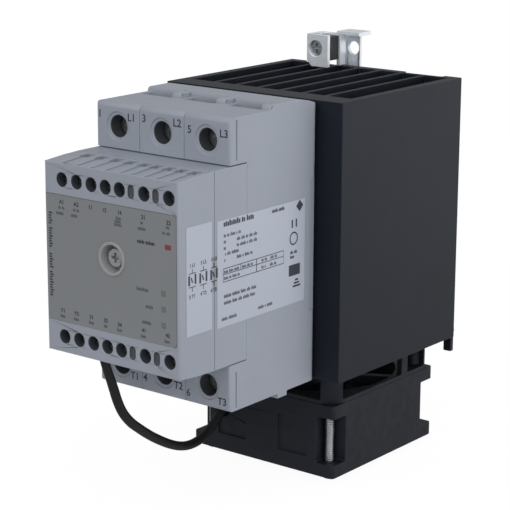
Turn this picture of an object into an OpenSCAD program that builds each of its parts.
// Three-pole solid state relay with its control module, heatsink, cooling fan and rail clip.
// Origin: middle of the face that rests on the mounting rail. +X right, +Y towards the rail, +Z up.

/* [Power module] */
// Width of one pole
pole_w = 18; // [17.5:0.1:18.5]
// Depth of the terminal blocks in front of the heatsink
terminal_d = 44.7; // [44:0.1:46]
// Depth of the pole housings in the middle
carrier_d = 36.5; // [36:0.1:37]
// Height above the rail where terminal block and carrier meet
split_z = 31.1; // [30.5:0.1:31.5]
// Depth of a power terminal screw below the block's edge
screw_inset = 7.3; // [7:0.1:7.6]
// Radius of a power screwdriver hole
driver_hole_r = 3.6; // [3.4:0.1:3.8]
// Turn of the rounded front edges
edge_r = 1.6; // [1:0.1:2]
// Rise of the wire hoods above the terminal blocks
hood_h = 1.5; // [1:0.1:2]

/* [Control module] */
// Depth of the seam between the carrier and the control module
seam_d = 52; // [51:0.5:53]
// Depth of the control module's front
front_d = 68.5; // [68:0.5:70]
// Half the height of the control module's front
front_half_h = 30; // [29.2:0.1:30.2]
// Height of the control screw rows from the middle
control_screw_z = 24.9; // [24.5:0.1:25.2]
// Radius of a control screwdriver hole
control_hole_r = 2.3; // [1.8:0.1:2.4]
// Half the height of the faceplate
faceplate_half_h = 20.1; // [19.5:0.1:20.4]
// Place of the setpoint knob, across
knob_x = 0.6; // [0:0.1:1.5]
// Place of the setpoint knob, up
knob_z = 3.3; // [2.5:0.1:4]

/* [Heatsink] */
// Width of the extrusion
heatsink_w = 72.4; // [72:0.1:73]
// Depth of the extrusion
heatsink_d = 69.6; // [69:0.1:70]
// Length of the extrusion, standing up
heatsink_h = 92; // [91:0.5:93]
// Distance from the rail's middle down to the extrusion's end
heatsink_drop = 46.4; // [46:0.1:47]
// Thickness of the front base
base_t = 9; // [8.5:0.1:9.5]
// Distance between fins
fin_pitch = 9.2; // [9:0.05:9.3]
// Thickness of a fin
fin_t = 1.4; // [1.2:0.1:1.6]

/* [Fan] */
// Side of the square fan
fan_w = 60; // [60:0.1:60.5]
// Height of the fan
fan_h = 25.4; // [25:0.1:25.4]
// Height of the duct between fan and heatsink
duct_h = 10.9; // [10.8:0.1:11.2]
// Distance between the fan's screws
fan_hole_pitch = 50; // [49.8:0.1:50.2]
// Number of blades
blades = 7; // [5:1:9]

/* [Rail clip] */
// Thickness of the rail plate
plate_t = 2; // [2:0.1:2.2]
// Rise of the pad that the rail rests on
seat_rise = 0.3; // [0.2:0.1:0.4]
// Height of the mounting rail
rail_h = 35; // [35:0.1:35.3]

/* [Hidden] */
$fn = 48;
eps = 0.01;
back_y = -plate_t;
face_y = back_y - heatsink_d;
term_y = face_y - terminal_d;
car_y = face_y - carrier_d;
seam_y = face_y - seam_d;
front_y = face_y - front_d;
bot_z = -heatsink_drop;
top_z = bot_z + heatsink_h;
mod_x = 1.5 * pole_w;
wall = 1.8;
gap = 0.15;
screw_z_up = top_z - screw_inset;
screw_z_dn = bot_z + screw_inset;
poles = [-pole_w, 0, pole_w];
hood_y = face_y - 20.4;
mouth_y = hood_y - 7.6;
pocket_y = hood_y - 5.4;
rib_y = pocket_y + 1;
fan_y = back_y - 3.6 - fan_w / 2;
fan_z1 = bot_z - duct_h;
fan_z0 = fan_z1 - fan_h;
fan_hole = fan_hole_pitch / 2;
duct_r = 7.4;
fan_corners = [for (i = [-1, 1], j = [-1, 1]) [i * fan_hole, fan_y + j * fan_hole]];
control_x = [-19.8, -13.7, -7.7, -1.9, 3.8, 13.5, 23.2];
slot_x = [8.4, 18.1];
entry_x = concat(control_x, slot_x);
lamp_z = [-4.2, -9, -14];
lamp_x = 21;
bracket_y = back_y - 12.4;
bracket_z1 = top_z + 11.7;
inner_y = bracket_y + 7.3;
earth_x = -16.7;
earth_z = top_z + 6.7;
lug_x = -9.1;
bracket_screw_at = [[-10, 38]];
rail_screw_at = [[-8, 21], [8, 21], [-8, -12], [8, -12]];
rivet_at = [[-26, -29], [26, -29], [-26, -40], [26, -40]];
housing_screw_at = [[-18, 25.5], [18, 25.5], [-18, -25.5], [18, -25.5]];
lug_z = top_z + 6.3;
lead_x = -12.4;
lead_y = front_y + 9.6;
lead_r = 1.6;
plug_half = 2.3;
// Route of the fan lead, from the control module's underside to the fan's front wall
lead_route = [
    [-12.4, -130.5, -30.9], [-12.3, -130.4, -33], [-12.1, -129.9, -35.2], [-11.9, -129.1, -37.6],
    [-11.8, -128, -40.6], [-11.7, -126.7, -44.2], [-11.9, -125, -48.2], [-12.1, -122.4, -52.8],
    [-12.4, -118.4, -57.2], [-12.8, -113.2, -61.2], [-13.3, -108, -64.8], [-13.7, -102.6, -68.1],
    [-14.2, -97, -71.1], [-14.7, -91.3, -73.5], [-15.2, -85.6, -74.8], [-15.7, -79.8, -74.7],
    [-16.1, -74.6, -73.2], [-16.4, -70.6, -70.8], [-16.7, -67.4, -68.6], [-17, -64.2, -67.4],
    [-17, -61.2, -67]];
lead_end = lead_route[len(lead_route) - 1];

// ---- small shapes ----
module box(x0, x1, y0, y1, z0, z1) {
    translate([x0, y0, z0]) cube([x1 - x0, y1 - y0, z1 - z0]);
}
module rod_x(y, z, x0, x1, r) {
    translate([x0, y, z]) rotate([0, 90, 0]) cylinder(r = r, h = x1 - x0);
}
module rod_y(x, z, y0, y1, r) {
    translate([x, y0, z]) rotate([-90, 0, 0]) cylinder(r = r, h = y1 - y0);
}
module rod_z(x, y, z0, z1, r) {
    translate([x, y, z0]) cylinder(r = r, h = z1 - z0);
}
// Square with round corners, as a flat outline
module round_square(w, d, r) {
    square([w - 2 * r, d], center = true);
    square([w, d - 2 * r], center = true);
    for (i = [-1, 1], j = [-1, 1]) translate([i * (w / 2 - r), j * (d / 2 - r)]) circle(r = r);
}
// Outline given as depth and height, pushed out along X
module side_profile(x0, x1, points) {
    translate([x0, 0, 0]) rotate([90, 0, 90]) linear_extrude(x1 - x0) polygon(points);
}
// What a rounded edge takes away from a sharp one, along Z, inside towards +X +Y
module edge_waste(r, l) {
    difference() {
        translate([-1, -1, -1]) cube([r + 1, r + 1, l + 2]);
        translate([r, r, -2]) cylinder(r = r, h = l + 4);
    }
}
// Edges to take away: turn 0 has the solid towards +X +Y (Z edge) or +Y -Z (X edge)
module edge_z(x, y, z0, z1, r, turn) {
    translate([x, y, z0]) rotate([0, 0, turn]) edge_waste(r, z1 - z0);
}
module edge_x(x0, x1, y, z, r, turn) {
    translate([x0, y, z]) rotate([turn, 0, 0]) rotate([0, 90, 0]) edge_waste(r, x1 - x0);
}
// Cross-shaped driver recess that opens towards -Y
module cross_y(x, z, y0, depth, size, slot) {
    box(x - size, x + size, y0 - eps, y0 + depth, z - slot / 2, z + slot / 2);
    box(x - slot / 2, x + slot / 2, y0 - eps, y0 + depth, z - size, z + size);
}

// ---- heatsink ----
module fin_slots() {
    fins = [for (i = [-2.5:1:2.5]) i * fin_pitch];
    edges = concat([-heatsink_w / 2 + 3.3 - fin_t / 2], fins, [heatsink_w / 2 - 3.3 + fin_t / 2]);
    for (i = [0:6])
        translate([edges[i] + fin_t / 2, face_y + base_t])
            square([edges[i + 1] - edges[i] - fin_t, heatsink_d - base_t - 3.6]);
}
module heatsink() {
    color([0.2, 0.21, 0.24]) difference() {
        translate([0, 0, bot_z]) linear_extrude(heatsink_h) difference() {
            translate([-heatsink_w / 2, face_y]) square([heatsink_w, heatsink_d]);
            fin_slots();
            for (s = [-1, 1]) translate([s * 21.5 - 8, back_y - 2.2]) square([16, 3]);
        }
        for (p = bracket_screw_at) rod_y(p[0], p[1], back_y - 5, back_y + 1, 1.6);
        for (p = rail_screw_at) rod_y(p[0], p[1], back_y - 3.8, back_y + 1, 1.6);
        for (p = rivet_at) rod_y(p[0], p[1], back_y - 3.8, back_y + 1, 1.95);
        for (x = [-14, 14]) rod_z(x, face_y + 5, bot_z - 1, bot_z + 9, 1.25);
        for (p = housing_screw_at) rod_y(p[0], p[1], face_y - 1, face_y + 7, 1.5);
    }
}

// ---- fan ----
module duct_layer(z0, z1) {
    translate([0, fan_y, z0]) linear_extrude(z1 - z0) children();
}
module duct_ring(hole_r) {
    difference() {
        round_square(fan_w, fan_w, duct_r);
        circle(r = hole_r);
    }
}
// Corner posts around the fan's screws, and a thin post in each side
module duct_posts() {
    post = 5.6;
    corner = fan_w / 2 - post / 2;
    intersection() {
        round_square(fan_w, fan_w, duct_r);
        union() {
            for (i = [-1, 1], j = [-1, 1]) {
                translate([i * corner, j * corner]) square(post, center = true);
                translate([i * fan_hole, j * fan_hole]) circle(r = 2.7);
            }
            for (s = [-1, 1]) translate([s * 29, 12.1]) square([2, 3.6], center = true);
        }
    }
}
module fan_duct() {
    color([0.1, 0.11, 0.13]) difference() {
        union() {
            duct_layer(bot_z - 1.8, bot_z - 0.05) duct_ring(26.5);
            duct_layer(fan_z1 + 1.4, bot_z - 1.75) duct_posts();
            duct_layer(fan_z1 + 0.05, fan_z1 + 1.45) duct_ring(28.4);
            box(-19, 19, face_y + 1.2, fan_y - fan_w / 2 + 3, bot_z - 1.8, bot_z - 0.05);
        }
        for (p = fan_corners) rod_z(p[0], p[1], fan_z1 - 1, bot_z - 1, 1.55);
        for (x = [-14, 14]) rod_z(x, face_y + 5, bot_z - 3, bot_z + 1, 1.4);
    }
}
// Ends of the screws that hold the duct, under its front lip
module duct_screws() {
    color([0.6, 0.62, 0.65]) for (x = [-14, 14]) {
        rod_z(x, face_y + 5, bot_z - 3.6, bot_z + 8.5, 1.2);
        rod_z(x, face_y + 5, bot_z - 3.6, bot_z - 1.85, 2.4);
    }
}
module fan_frame() {
    flange = 4.6;
    color([0.13, 0.15, 0.19]) translate([0, fan_y, 0]) difference() {
        union() {
            for (z = [fan_z0, fan_z1 - flange])
                translate([0, 0, z]) linear_extrude(flange) round_square(fan_w, fan_w, 1.5);
            translate([0, 0, fan_z0 + 1]) linear_extrude(fan_h - 2) difference() {
                square(fan_w, center = true);
                for (i = [-1, 1], j = [-1, 1]) translate([i, j] * fan_w / 2)
                    square(14.4, center = true);
            }
        }
        difference() {
            translate([0, 0, fan_z0 - 1]) cylinder(r = 28.4, h = fan_h + 2);
            translate([0, 0, fan_z1 - 4]) cylinder(r = 13, h = 4);
            for (a = [30, 150, 225, 315]) rotate([0, 0, a])
                translate([10, -1.4, fan_z1 - 4]) cube([20, 2.8, 3]);
        }
        for (i = [-1, 1], j = [-1, 1])
            translate([i * fan_hole, j * fan_hole, fan_z0 - 1]) cylinder(r = 2.15, h = fan_h + 2);
        translate([0, 0, fan_z1 - 8]) cylinder(r = 3.05, h = 7);
        box(7, 19, -31, -29.4, fan_z0 + 6, fan_z1 - 6.6);
        box(-19, -7, -31, -29.2, fan_z0 + 6, fan_z0 + 12);
        rod_y(lead_end[0], lead_end[2] - 0.6, -31, -24, lead_r + 1.1);
    }
}
module fan_stator() {
    color([0.72, 0.42, 0.2]) translate([0, fan_y, 0]) difference() {
        union() {
            for (a = [0:60:300]) rotate([0, 0, a])
                translate([3.5, -1.6, fan_z1 - 15]) cube([6, 3.2, 9]);
            translate([0, 0, fan_z1 - 16]) cylinder(r = 4.6, h = 11.7);
            for (a = [0:60:300]) rotate([0, 0, a])
                translate([8.2, -3, fan_z1 - 14]) cube([1.4, 6, 7]);
            translate([0, 0, fan_z1 - 5.3]) cylinder(r = 10.2, h = 1.2);
        }
        translate([0, 0, fan_z1 - 20]) cylinder(r = 3.05, h = 20);
    }
}
module fan_bearings() {
    color([0.75, 0.76, 0.78]) translate([0, fan_y, 0]) for (z = [fan_z1 - 15.9, fan_z1 - 6.5])
        translate([0, 0, z]) difference() {
            cylinder(r = 3, h = 2.5);
            translate([0, 0, -1]) cylinder(r = 1.04, h = 5);
        }
}
module fan_shaft() {
    color([0.8, 0.8, 0.82]) rod_z(0, fan_y, fan_z0 + 1.6, fan_z1 - 3.9, 1);
}
module fan_rotor() {
    hub_r = 12;
    color([0.1, 0.11, 0.13]) translate([0, fan_y, 0]) difference() {
        union() {
            translate([0, 0, fan_z0 + 1.4]) difference() {
                cylinder(r = hub_r, h = 18.4);
                translate([0, 0, 1.6]) cylinder(r = hub_r - 1.3, h = 18);
            }
            translate([0, 0, fan_z0 + 2]) cylinder(r = 2.4, h = 6);
            intersection() {
                translate([0, 0, fan_z0 + 1.6]) difference() {
                    cylinder(r = 27.7, h = 17.6);
                    translate([0, 0, -1]) cylinder(r = hub_r - 0.6, h = 20);
                }
                for (i = [0:blades - 1]) rotate([0, 0, i * 360 / blades])
                    translate([20, 0, fan_z0 + 10.4]) rotate([42, 0, 0])
                        cube([22, 1.3, 30], center = true);
            }
        }
        translate([0, 0, fan_z0 + 1]) cylinder(r = 1.005, h = 10);
    }
}
module fan_screws() {
    color([0.55, 0.57, 0.6]) for (p = fan_corners) {
        rod_z(p[0], p[1], fan_z0 - 0.3, bot_z - 1.4, 1.5);
        difference() {
            intersection() {
                rod_z(p[0], p[1], fan_z0 - 2, fan_z0 - 0.02, 3.3);
                translate([p[0], p[1], fan_z0 + 1.9]) sphere(r = 3.9);
            }
            for (a = [0, 90]) translate([p[0], p[1], fan_z0 - 2]) rotate([0, 0, a])
                cube([2.6, 0.6, 1.6], center = true);
        }
    }
}

// ---- rail clip and earth bracket ----
// Hook over the rail's edge at height z
module hook(x, z) {
    box(x - 6, x + 6, -1, 3.2, z + 0.2, z + 3);
    box(x - 6, x + 6, 1.6, 3.2, z - 1.9, z + 3);
}
module rail_plate() {
    color([0.25, 0.26, 0.28]) difference() {
        union() {
            box(-29, 29, back_y, -seat_rise, -16.6, 27);
            box(-28, 28, -1, 0, -14.8, 14.8);
            for (x = [-18, 18]) hook(x, rail_h / 2);
        }
        for (p = rail_screw_at) {
            rod_y(p[0], p[1], back_y - 1, 1, 1.7);
            rod_y(p[0], p[1], -1.4, 1, 3.1);
        }
    }
}
module rail_plate_screws() {
    color([0.6, 0.62, 0.65]) for (p = rail_screw_at) difference() {
        union() {
            rod_y(p[0], p[1], back_y - 3.6, -1.2, 1.5);
            rod_y(p[0], p[1], -1.35, -0.45, 2.9);
        }
        translate([p[0], -0.45, p[1]]) for (a = [0, 90]) rotate([0, a, 0])
            cube([3.4, 1.2, 0.7], center = true);
    }
}
module rail_latch() {
    travel = 4;
    tab_x = 33.4;
    latch_z = -52.1;
    color([0.13, 0.14, 0.16]) difference() {
        union() {
            box(-29.4, 29.4, back_y + 0.15, -0.2, -45, -17.1);
            for (x = [-18, 18]) mirror([0, 0, 1]) hook(x, rail_h / 2);
            for (s = [-1, 1]) {
                box(s * tab_x - 1.5, s * tab_x + 1.5, back_y + 0.15, -0.2, latch_z, -38);
                box(s * 31 - 4, s * 31 + 4, back_y + 0.15, -0.2, -45, -38);
            }
        }
        for (p = rivet_at) {
            rod_y(p[0], p[1], -3, 1, 2.2);
            rod_y(p[0], p[1] + travel, -3, 1, 2.2);
            box(p[0] - 2.2, p[0] + 2.2, -3, 1, p[1], p[1] + travel);
        }
        for (x = [-19.5, 19.5]) box(x - 2.3, x + 2.3, -3, 1, -42, -23);
    }
}
module latch_rivets() {
    color([0.5, 0.52, 0.55]) for (p = rivet_at) {
        rod_y(p[0], p[1], back_y - 3.6, 0.1, 1.9);
        rod_y(p[0], p[1], 0.1, 1.1, 3.4);
    }
}
// Pull spring as a ribbed sleeve, with a hook rod at each end
module pull_spring(x) {
    coil_r = 1.3;
    wire_r = 0.35;
    z0 = -39.5;
    z1 = -25.5;
    pitch = (z1 - z0) / 14;
    color([0.7, 0.72, 0.74]) translate([x, back_y - 0.1, 0]) {
        rotate_extrude() translate([coil_r, 0]) {
            translate([-0.15, z0]) square([0.3, z1 - z0]);
            for (i = [0:14]) translate([0, z0 + i * pitch]) circle(r = wire_r, $fn = 16);
        }
        rod_z(0, coil_r, z0 - 2, z1 + 2, 0.3);
    }
}
module latch_spring_left() { pull_spring(-19.5); }
module latch_spring_right() { pull_spring(19.5); }
module earth_bracket() {
    t = 1.4;
    x0 = -20.4;
    x1 = -11.4;
    z0 = top_z + 0.3;
    y1 = back_y + t;
    color([0.86, 0.88, 0.91]) difference() {
        union() {
            // front plate with cut lower corners
            translate([0, bracket_y + t, 0]) rotate([90, 0, 0]) linear_extrude(t)
                polygon([[x0, bracket_z1], [x0, z0 + 2], [x0 + 2, z0], [x1, z0], [x1, bracket_z1]]);
            // left wall and inner flange around the nut, and the strip beside them
            box(x0, x0 + 0.8, bracket_y + t - 0.5, inner_y + t, z0 + 2.2, bracket_z1);
            box(x0, x1, inner_y, inner_y + t, z0 + 2.2, bracket_z1);
            box(x1 - t, x1, inner_y, inner_y + 3.6, z0, bracket_z1);
            // rear strap that is screwed to the extrusion, and the roof
            box(x1 - t, -6.4, back_y + 0.05, y1, 30, bracket_z1);
            box(x1 - t, -3.3, inner_y, y1 + 1.2, bracket_z1 - 0.5, bracket_z1 + 0.8);
        }
        rod_y(earth_x, earth_z, bracket_y - 3, bracket_y + t + 1, 2.8);
        rod_y(earth_x, earth_z, inner_y - 1, inner_y + t + 1, 2.1);
        rod_y(lug_x, lug_z, back_y - 1, y1 + 1, 2.3);
        rod_y(bracket_screw_at[0][0], bracket_screw_at[0][1], back_y - 1, y1 + 1, 1.7);
    }
}
module earth_screw() {
    color([0.45, 0.47, 0.5]) difference() {
        union() {
            rod_y(earth_x, earth_z, bracket_y + 0.9, bracket_y + 2.6, 2.7);
            rod_y(earth_x, earth_z, bracket_y + 2.5, bracket_y + 10, 2);
        }
        cross_y(earth_x, earth_z, bracket_y + 0.9, 1.2, 1.8, 0.8);
    }
}
module earth_nut() {
    color([0.8, 0.82, 0.85]) difference() {
        box(earth_x - 2.2, earth_x + 4.7, bracket_y + 2.7, inner_y - 0.1, earth_z - 4.2, earth_z + 4.2);
        rod_y(earth_x, earth_z, bracket_y + 2, inner_y + 1, 2.05);
    }
}
module bracket_screw() {
    color([0.6, 0.62, 0.65]) for (p = bracket_screw_at) difference() {
        union() {
            rod_y(p[0], p[1], back_y - 4.6, back_y + 1.6, 1.5);
            rod_y(p[0], p[1], back_y + 1.45, back_y + 3, 3);
        }
        translate([p[0], back_y + 3, p[1]]) for (a = [0, 90]) rotate([0, a, 0])
            cube([3.6, 1.6, 0.8], center = true);
    }
}

// ---- power module ----
module pole_outer(x0, x1) {
    lip = hood_y + 4.9;
    side_profile(x0, x1, [
        [face_y, bot_z], [face_y, top_z - 1], [face_y - 5, top_z + 0.5],
        [face_y - 10, top_z + hood_h], [hood_y, top_z + hood_h], [hood_y, top_z],
        [term_y, top_z], [term_y, split_z + gap], [car_y, split_z + gap], [car_y, -split_z - gap],
        [term_y, -split_z - gap], [term_y, bot_z], [hood_y, bot_z], [hood_y, bot_z - hood_h],
        [lip, bot_z - hood_h], [lip, bot_z]]);
}
module pole_cavity(x0, x1) {
    side_profile(x0 + wall, x1 - wall, [
        [face_y + 1, bot_z + wall], [face_y + 1, top_z - wall], [term_y + 2.2, top_z - wall],
        [term_y + 2.2, split_z + wall], [car_y + wall, split_z + wall],
        [car_y + wall, -split_z - wall], [term_y + 2.2, -split_z - wall],
        [term_y + 2.2, bot_z + wall]]);
}
// One pole: x is its middle, side is -1, 0 or 1 for the outer side that is rounded
module pole_housing(x, side) {
    x0 = x - pole_w / 2 + 0.05;
    x1 = x + pole_w / 2 - 0.05;
    color([0.61, 0.63, 0.68]) difference() {
        union() {
            difference() {
                pole_outer(x0, x1);
                pole_cavity(x0, x1);
            }
            for (z = [screw_z_up, screw_z_dn])
                rod_y(x, z, term_y + 1, term_y + 5, driver_hole_r + 1.2);
            box(x + 5.2, x1, rib_y, hood_y + 1.5, top_z - 1, top_z + hood_h);
        }
        for (z = [screw_z_up, screw_z_dn]) {
            rod_y(x, z, term_y - 1, term_y + 6, driver_hole_r);
            rod_y(x, z, term_y - 1, term_y + 0.4, driver_hole_r + 1);
        }
        for (z = [top_z - wall - 1, bot_z - 3])
            box(x - 7.2, x + 5, pocket_y, hood_y, z, z + 4 + wall);
        if (side != 0) {
            xs = side > 0 ? x1 : x0;
            edge_z(xs, face_y, bot_z, top_z + hood_h, 3, side > 0 ? 180 : 270);
            edge_z(xs, term_y, bot_z, top_z, 0.8, side > 0 ? 90 : 0);
            for (z = [[top_z - 13.2, top_z - 0.8], [bot_z + 0.8, bot_z + 12.6]])
                box(xs - 0.5, xs + 0.5, term_y + 3, term_y + 3.5, z[0], z[1]);
            translate([xs, face_y - 3.9, -22.4]) rotate([0, 0, side > 0 ? 0 : 180])
                translate([-0.6, side > 0 ? 0 : -4, 0]) cube([2, 4, 43]);
        }
        edge_x(x0 - 1, x1 + 1, term_y, top_z, edge_r, 0);
        edge_x(x0 - 1, x1 + 1, term_y, bot_z, edge_r, 90);
        edge_x(x0 - 1, x + 5.2, hood_y, top_z + hood_h, 1.2, 0);
        edge_x(x + 5.2, x1 + 1, rib_y, top_z + hood_h, 1.2, 0);
        for (s = [-1, 1]) rod_y(x, s * 25.5, car_y - 1, car_y + 3, 2);
    }
}
module pole_housing_1() { pole_housing(poles[0], -1); }
module pole_housing_2() { pole_housing(poles[1], 0); }
module pole_housing_3() { pole_housing(poles[2], 1); }
module housing_screws() {
    color([0.6, 0.62, 0.65]) for (p = housing_screw_at) {
        rod_y(p[0], p[1], face_y - 5, face_y + 6.5, 1.4);
        rod_y(p[0], p[1], face_y - 6.6, face_y - 4.4, 2.7);
    }
}
module thermal_plate() {
    color([0.8, 0.5, 0.3]) difference() {
        union() for (x = poles) box(x - 6.9, x + 6.9, face_y - 3.05, face_y - 0.05, -29, 29);
        for (p = housing_screw_at) rod_y(p[0], p[1], face_y - 5, face_y + 1, 1.5);
    }
}
module ceramic_substrates() {
    color([0.93, 0.93, 0.9]) for (x = poles)
        box(x - 6, x + 6, face_y - 3.8, face_y - 3.1, -20, 20);
}
module thyristor_chips() {
    color([0.35, 0.36, 0.4]) for (x = poles, z = [-6.5, 6.5])
        box(x - 4, x + 4, face_y - 4.3, face_y - 3.85, z - 4, z + 4);
}
// Busbar of one terminal: s is 1 above and -1 below, z1 its far end
module busbar(x, s, z1) {
    y0 = mouth_y - 1.9;
    foot = face_y - 5.8;
    za = s * 17;
    lo = min(za, z1);
    hi = max(za, z1);
    box(x - 4.2, x + 4.2, y0, y0 + 2, lo, hi);
    box(x - 4.2, x + 4.2, y0, foot + 2, min(za, za + s * 2), max(za, za + s * 2));
    box(x - 4.2, x + 4.2, foot, foot + 1.95, min(za + s * 2, s * 12), max(za + s * 2, s * 12));
}
module line_busbars() {
    color([0.85, 0.86, 0.88]) for (x = poles) busbar(x, 1, screw_z_up + 4.6);
}
module load_busbars() {
    color([0.85, 0.86, 0.88]) for (x = poles) busbar(x, -1, screw_z_dn - 4.6);
}
module power_screw(x, z) {
    y0 = term_y + 5.2;
    color([0.7, 0.72, 0.75]) difference() {
        union() {
            rod_y(x, z, y0, y0 + 2.6, 3.2);
            rod_y(x, z, y0 + 2.5, mouth_y - 2.2, 2.4);
        }
        cross_y(x, z, y0, 1.8, 2, 0.9);
    }
}
module line_screw_1() { power_screw(poles[0], screw_z_up); }
module line_screw_2() { power_screw(poles[1], screw_z_up); }
module line_screw_3() { power_screw(poles[2], screw_z_up); }
module load_screw_1() { power_screw(poles[0], screw_z_dn); }
module load_screw_2() { power_screw(poles[1], screw_z_dn); }
module load_screw_3() { power_screw(poles[2], screw_z_dn); }
module cage(x, z) {
    y0 = term_y + 10.4;
    y1 = hood_y + 1.6;
    color([0.78, 0.8, 0.83]) difference() {
        box(x - 6, x + 6, y0, y1, z - 4.8, z + 4.8);
        box(x - 4.6, x + 4.6, y0 + 2.2, y1 - 2, z - 6, z + 6);
        rod_y(x, z, y0 - 1, y0 + 3, 2.45);
    }
}
module line_cage_1() { cage(poles[0], screw_z_up); }
module line_cage_2() { cage(poles[1], screw_z_up); }
module line_cage_3() { cage(poles[2], screw_z_up); }
module load_cage_1() { cage(poles[0], screw_z_dn); }
module load_cage_2() { cage(poles[1], screw_z_dn); }
module load_cage_3() { cage(poles[2], screw_z_dn); }

// ---- carrier and its board ----
module carrier_cover() {
    h = split_z - gap;
    color([0.62, 0.64, 0.69]) difference() {
        box(-mod_x, mod_x, seam_y + 0.1, car_y - 0.1, -h, h);
        box(-mod_x + wall, mod_x - wall, seam_y - 1, car_y - 0.1 - wall, -h + wall, h - wall);
        for (x = [-6, 6]) box(x - 3, x + 3, car_y - 3, car_y + 1, -3, 3);
    }
}
module driver_board() {
    color([0.1, 0.4, 0.2]) difference() {
        box(-24, 24, car_y - 5.2, car_y - 3.6, -27, 27);
        for (i = [-1, 1], j = [-1, 1]) rod_y(i * 21, j * 24, car_y - 6, car_y - 3, 1.6);
    }
}
module varistors() {
    color([0.15, 0.3, 0.6]) for (x = poles) rod_y(x, 14, car_y - 9, car_y - 5.3, 5.2);
}
module board_link() {
    color([0.15, 0.15, 0.16]) box(-10, 10, seam_y - 1.6, car_y - 5.25, -3, 3);
}

// ---- control module ----
module control_outline(inset) {
    polygon([
        [front_y + inset, -front_half_h + inset], [front_y + 8.5, -split_z + 0.45 + inset],
        [seam_y - gap, -split_z + gap + inset], [seam_y - gap, split_z - gap - inset],
        [front_y + 8.5, split_z - 0.45 - inset], [front_y + inset, front_half_h - inset]]);
}
module control_housing() {
    color([0.62, 0.64, 0.69]) difference() {
        translate([-mod_x, 0, 0]) rotate([90, 0, 90]) linear_extrude(2 * mod_x) control_outline(0);
        translate([-mod_x + wall, 0, 0]) rotate([90, 0, 90]) linear_extrude(2 * (mod_x - wall))
            control_outline(wall);
        box(-mod_x + wall, mod_x - wall, seam_y - 3, seam_y + 1, -split_z + 2, split_z - 2);
        for (x = control_x, s = [-1, 1])
            rod_y(x, s * control_screw_z, front_y - 1, front_y + 4, control_hole_r);
        for (x = slot_x, s = [-1, 1]) {
            box(x - 1.2, x + 1.2, front_y - 1, front_y + 1.2, s * control_screw_z - 0.95,
                s * control_screw_z + 0.95);
            for (t = [-1, 1])
                rod_y(x, s * control_screw_z + t * 0.95, front_y - 1, front_y + 1.2, 1.2);
        }
        for (x = entry_x, s = [-1, 1]) {
            if (s > 0 || x != control_x[1])
                box(x - 1.7, x + 1.7, front_y + 9.5, front_y + 14, s * split_z - 2.5,
                    s * split_z + 2.5);
            box(x - 0.55, x + 0.55, front_y + 0.5, front_y + 9.6, s * (split_z - 0.5) - 1,
                s * (split_z - 0.5) + 1);
        }
        box(lead_x - plug_half - 0.1, lead_x + plug_half + 0.1, lead_y - plug_half - 0.1,
            lead_y + plug_half + 0.1, -split_z - 1, -split_z + 3);
        box(-26.6, 26.1, front_y - 1, front_y + 0.35, -faceplate_half_h, faceplate_half_h);
        rod_y(knob_x, knob_z, front_y - 1, front_y + 3, 5.35);
        for (z = lamp_z) box(lamp_x - 0.85, lamp_x + 0.85, front_y - 1, front_y + 3, z - 0.85,
            z + 0.85);
        for (s = [-1, 1])
            edge_z(s * mod_x, front_y, -split_z, split_z, 0.7, s > 0 ? 90 : 0);
    }
}
module faceplate() {
    r = 1.5;
    y1 = front_y + 0.3;
    color([0.46, 0.475, 0.485]) difference() {
        translate([0, y1, 0]) rotate([90, 0, 0]) linear_extrude(0.35) difference() {
            union() {
                translate([-26.55, -faceplate_half_h + 0.05])
                    square([52.6 - r, 2 * faceplate_half_h - 0.1]);
                translate([20, -faceplate_half_h + 0.05 + r])
                    square([6.05, 2 * (faceplate_half_h - 0.05 - r)]);
                for (s = [-1, 1])
                    translate([26.05 - r, s * (faceplate_half_h - 0.05 - r)]) circle(r = r);
            }
            translate([knob_x, knob_z]) circle(r = 5.35);
            for (z = lamp_z) translate([lamp_x, z]) square(1.7, center = true);
        }
    }
}
module knob_bezel() {
    color([0.64, 0.65, 0.67]) difference() {
        rod_y(knob_x, knob_z, front_y - 0.4, front_y + 5.3, 5.3);
        rod_y(knob_x, knob_z, front_y - 1, front_y + 4.7, 4.3);
        rod_y(knob_x, knob_z, front_y + 2, front_y + 6, 1.7);
    }
}
module setpoint_knob() {
    y0 = front_y + 1.4;
    color([0.6, 0.6, 0.6]) difference() {
        union() {
            rod_y(knob_x, knob_z, y0, y0 + 3, 2.8);
            rod_y(knob_x, knob_z, y0 + 2.9, front_y + 7.6, 1.5);
        }
        cross_y(knob_x, knob_z, y0, 1.5, 1.6, 1);
        translate([knob_x, y0, knob_z]) rotate([0, 25, 0]) translate([2.5, 0, 0])
            cube([0.9, 0.8, 0.5], center = true);
    }
}
module potentiometer() {
    color([0.2, 0.35, 0.6]) difference() {
        box(knob_x - 4.6, knob_x + 4.6, front_y + 5.4, front_y + 11.2, knob_z - 4.6, knob_z + 4.6);
        rod_y(knob_x, knob_z, front_y + 5, front_y + 7.9, 1.55);
    }
}
module status_lamps() {
    color([0.35, 0.5, 0.3]) for (z = lamp_z)
        box(lamp_x - 0.8, lamp_x + 0.8, front_y - 0.1, front_y + 11, z - 0.8, z + 0.8);
}
module control_board() {
    color([0.1, 0.4, 0.2]) box(-24.5, 24.5, front_y + 11.3, front_y + 12.9, -21, 21);
}
module alarm_relay() {
    color([0.9, 0.75, 0.2]) box(-22, -8, front_y + 3, front_y + 11.25, -9, 9);
}
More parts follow.
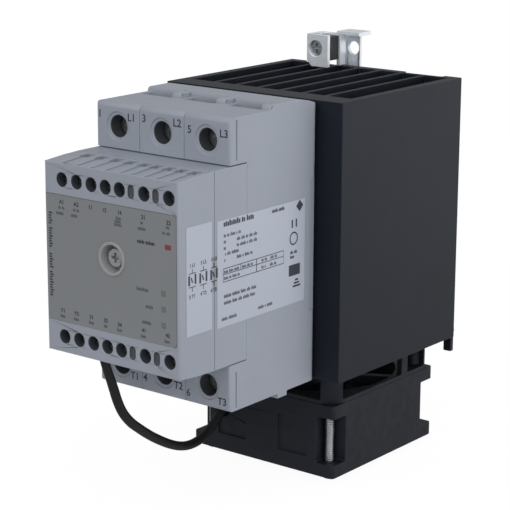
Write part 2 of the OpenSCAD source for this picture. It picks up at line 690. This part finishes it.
// Row of cage terminals: s is 1 at the top and -1 at the bottom
module control_terminals(s) {
    z = s * control_screw_z;
    color([0.2, 0.45, 0.3]) difference() {
        box(-23.5, 25.1, front_y + 3.2, front_y + 15, z - 3.1, z + 3.1);
        for (x = control_x) {
            rod_y(x, z, front_y + 2, front_y + 5.3, 2.05);
            rod_y(x, z, front_y + 5, front_y + 9, 1.35);
            box(x - 1.6, x + 1.6, front_y + 9.4, front_y + 13.6, s > 0 ? z - 2 : z - 4,
                s > 0 ? z + 4 : z + 2);
        }
        if (s < 0) box(lead_x - 2.6, lead_x + 2.6, front_y + 7, front_y + 13, z - 4, z - 1.6);
    }
}
module control_terminals_top() { control_terminals(1); }
module control_terminals_bottom() { control_terminals(-1); }
module control_screws(z) {
    color([0.65, 0.67, 0.7]) for (x = control_x) difference() {
        union() {
            rod_y(x, z, front_y + 3.4, front_y + 5.2, 1.9);
            rod_y(x, z, front_y + 5.1, front_y + 8.9, 1.25);
        }
        box(x - 2, x + 2, front_y + 3, front_y + 4.3, z - 0.3, z + 0.3);
    }
}
module control_screws_top() { control_screws(control_screw_z); }
module control_screws_bottom() { control_screws(-control_screw_z); }
module control_label() {
    color([0.69, 0.71, 0.78]) box(mod_x, mod_x + 0.12, front_y + 3.3, seam_y - 1.4, -17.3, 16);
}
module rating_label() {
    color([0.69, 0.71, 0.78])
        box(mod_x, mod_x + 0.12, seam_y + 1.1, car_y + 29.4, -17.9, 15.4);
}
module lead_plug() {
    color([0.9, 0.9, 0.86])
        box(lead_x - plug_half, lead_x + plug_half, lead_y - plug_half, lead_y + plug_half,
            lead_route[0][2] + 0.15, -28.2);
}
// Tube of eight sides along a list of points
module tube(points, r) {
    n = 8;
    last = len(points) - 1;
    rings = [for (i = [0:last])
        let (a = points[max(i - 1, 0)], b = points[min(i + 1, last)], t = (b - a) / norm(b - a),
            u = cross([1, 0, 0], t), p = u / norm(u), q = cross(t, p))
            for (k = [0:n - 1]) points[i] + r * (cos(k * 360 / n) * p + sin(k * 360 / n) * q)];
    sides = [for (i = [0:last - 1], k = [0:n - 1])
        [i * n + k, (i + 1) * n + k, (i + 1) * n + (k + 1) % n, i * n + (k + 1) % n]];
    ends = [[for (k = [0:n - 1]) k], [for (k = [n - 1:-1:0]) last * n + k]];
    polyhedron(concat(rings), concat(sides, ends));
}
module fan_lead() { color([0.06, 0.06, 0.07]) tube(lead_route, lead_r); }

heatsink();
fan_duct();
fan_frame();
fan_stator();
fan_bearings();
fan_shaft();
fan_rotor();
fan_screws();
duct_screws();
rail_plate();
rail_plate_screws();
rail_latch();
latch_rivets();
latch_spring_left();
latch_spring_right();
earth_bracket();
earth_screw();
earth_nut();
bracket_screw();
pole_housing_1();
pole_housing_2();
pole_housing_3();
housing_screws();
thermal_plate();
ceramic_substrates();
thyristor_chips();
line_busbars();
load_busbars();
line_screw_1();
line_screw_2();
line_screw_3();
load_screw_1();
load_screw_2();
load_screw_3();
line_cage_1();
line_cage_2();
line_cage_3();
load_cage_1();
load_cage_2();
load_cage_3();
carrier_cover();
driver_board();
varistors();
board_link();
control_housing();
control_board();
alarm_relay();
potentiometer();
setpoint_knob();
knob_bezel();
faceplate();
status_lamps();
control_terminals_top();
control_terminals_bottom();
control_screws_top();
control_screws_bottom();
control_label();
rating_label();
lead_plug();
fan_lead();
